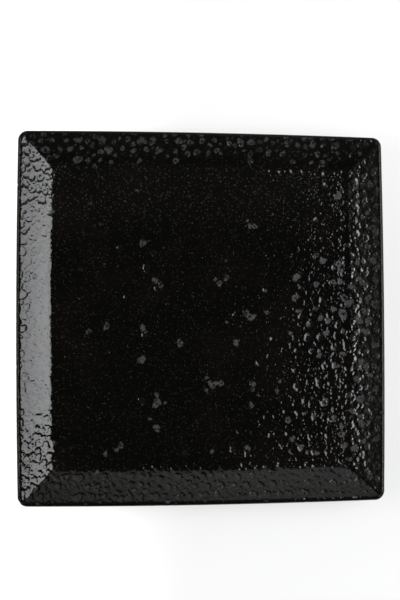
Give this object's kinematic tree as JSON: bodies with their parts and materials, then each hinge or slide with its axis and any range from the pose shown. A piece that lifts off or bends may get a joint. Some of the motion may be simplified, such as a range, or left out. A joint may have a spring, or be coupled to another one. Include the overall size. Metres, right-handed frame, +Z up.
{
  "type": "square dinner plate",
  "caption": "Square stoneware dinner plate with a flat floor, sloping rims that meet in mitred creases, and a cratered black glaze.",
  "frame": {"origin": "middle of the plate in plan, on the plane that its foot ring stands on", "axes": "+Z up, out of the plate's face; +X and +Y square to two neighbouring sides"},
  "size_m": [0.267, 0.267, 0.018],
  "materials": {
    "fired_clay": "matte, finely gritty",
    "crater_glaze": "gloss, with orange peel and burst-bubble craters",
    "plain_glaze": "gloss, slightly wavy"
  },
  "bodies": {
    "root": {"stoneware_body": "fired_clay", "face_glaze": "crater_glaze", "back_glaze": "plain_glaze", "base_glaze": "plain_glaze"}
  },
  "joints": []
}
